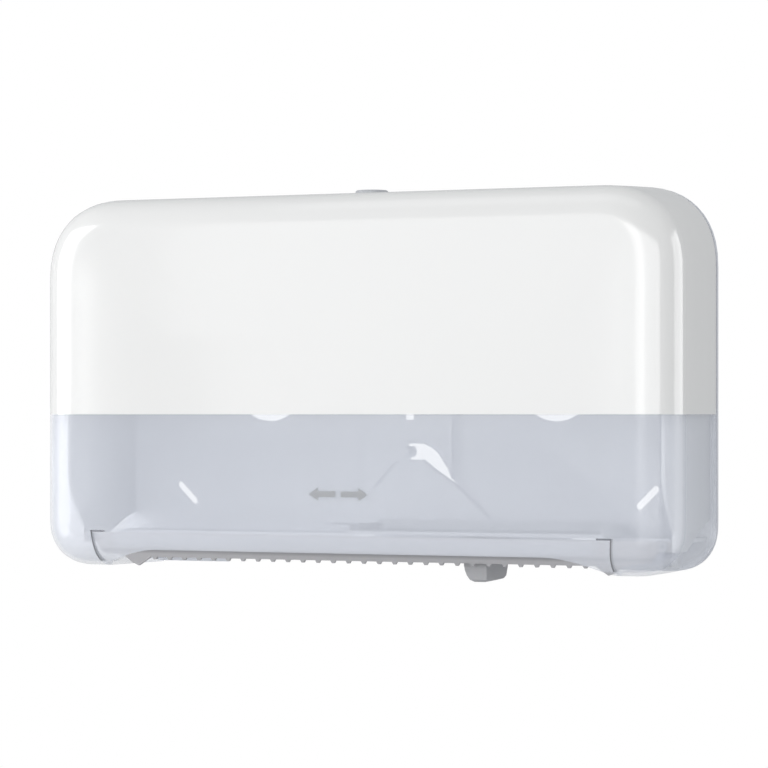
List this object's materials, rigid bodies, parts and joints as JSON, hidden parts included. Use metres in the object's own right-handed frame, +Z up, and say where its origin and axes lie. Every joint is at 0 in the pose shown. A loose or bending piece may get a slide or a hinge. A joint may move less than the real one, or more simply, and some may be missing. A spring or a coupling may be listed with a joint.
{
  "type": "jumbo toilet roll dispenser",
  "caption": "Wall dispenser for a pair of jumbo toilet rolls, with a drop-down cover, clear lower window, tear bar, top key lock and a tray that slides to close one paper outlet.",
  "frame": {"origin": "middle of the rear face that rests on the wall", "axes": "+X to the right seen from the room, +Y into the wall, +Z up"},
  "size_m": [0.472, 0.13, 0.2734],
  "materials": {
    "white_gloss": "smooth",
    "clear_tint": "clear, lightly tinted",
    "pale_plastic": "fine texture",
    "grey_plastic": "fine texture",
    "print_grey": "printed",
    "steel": "plain"
  },
  "bodies": {
    "frame": {"back_plate": "pale_plastic", "bracket_left": "pale_plastic", "bracket_right": "pale_plastic", "rear_rail": "pale_plastic", "tear_bar": "grey_plastic", "bar_screws": "steel", "bracket_screws": "steel", "hub_post_left": "pale_plastic", "hub_post_right": "pale_plastic", "post_screws": "steel", "retaining_ring_left": "steel", "retaining_ring_right": "steel", "latch_keeper": "steel", "keeper_screws": "steel", "hinge_pin_left": "steel", "hinge_pin_right": "steel", "centre_stud": "pale_plastic", "centre_arm": "pale_plastic"},
    "cover": {"cover_shell": "white_gloss", "cover_window": "clear_tint", "window_sill": "clear_tint", "hinge_arm_left": "clear_tint", "hinge_arm_right": "clear_tint", "slide_arrows": "print_grey", "lock_bezel": "grey_plastic", "lock_nut": "steel"},
    "lock": {"lock_barrel": "steel", "lock_cam": "steel", "cam_screw": "steel"},
    "left_hub": {"roll_hub_left": "white_gloss", "hub_cap_left": "pale_plastic"},
    "right_hub": {"roll_hub_right": "white_gloss", "hub_cap_right": "pale_plastic"},
    "tray": {"slide_tray": "pale_plastic", "pull_tab": "grey_plastic", "tab_pins": "steel", "tray_glides": "white_gloss"}
  },
  "joints": [
    {"name": "cover_swing", "type": "hinge", "parent": "frame", "child": "cover", "pos_m": [0, -0.0122, -0.12645], "axis": [1, 0, 0], "range_deg": [0, 90]},
    {"name": "lock_turn", "type": "hinge", "parent": "cover", "child": "lock", "pos_m": [0, -0.073, 0.12], "axis": [0, 0, 1], "range_deg": [0, 90]},
    {"name": "left_hub_spin", "type": "hinge", "parent": "frame", "child": "left_hub", "pos_m": [-0.11125, -0.05, -0.0005], "axis": [0, -1, 0], "continuous": true},
    {"name": "right_hub_spin", "type": "hinge", "parent": "frame", "child": "right_hub", "pos_m": [0.11125, -0.05, -0.0005], "axis": [0, -1, 0], "continuous": true},
    {"name": "tray_slide", "type": "slide", "parent": "frame", "child": "tray", "axis": [1, 0, 0], "range_m": [-0.1588, 0]}
  ]
}
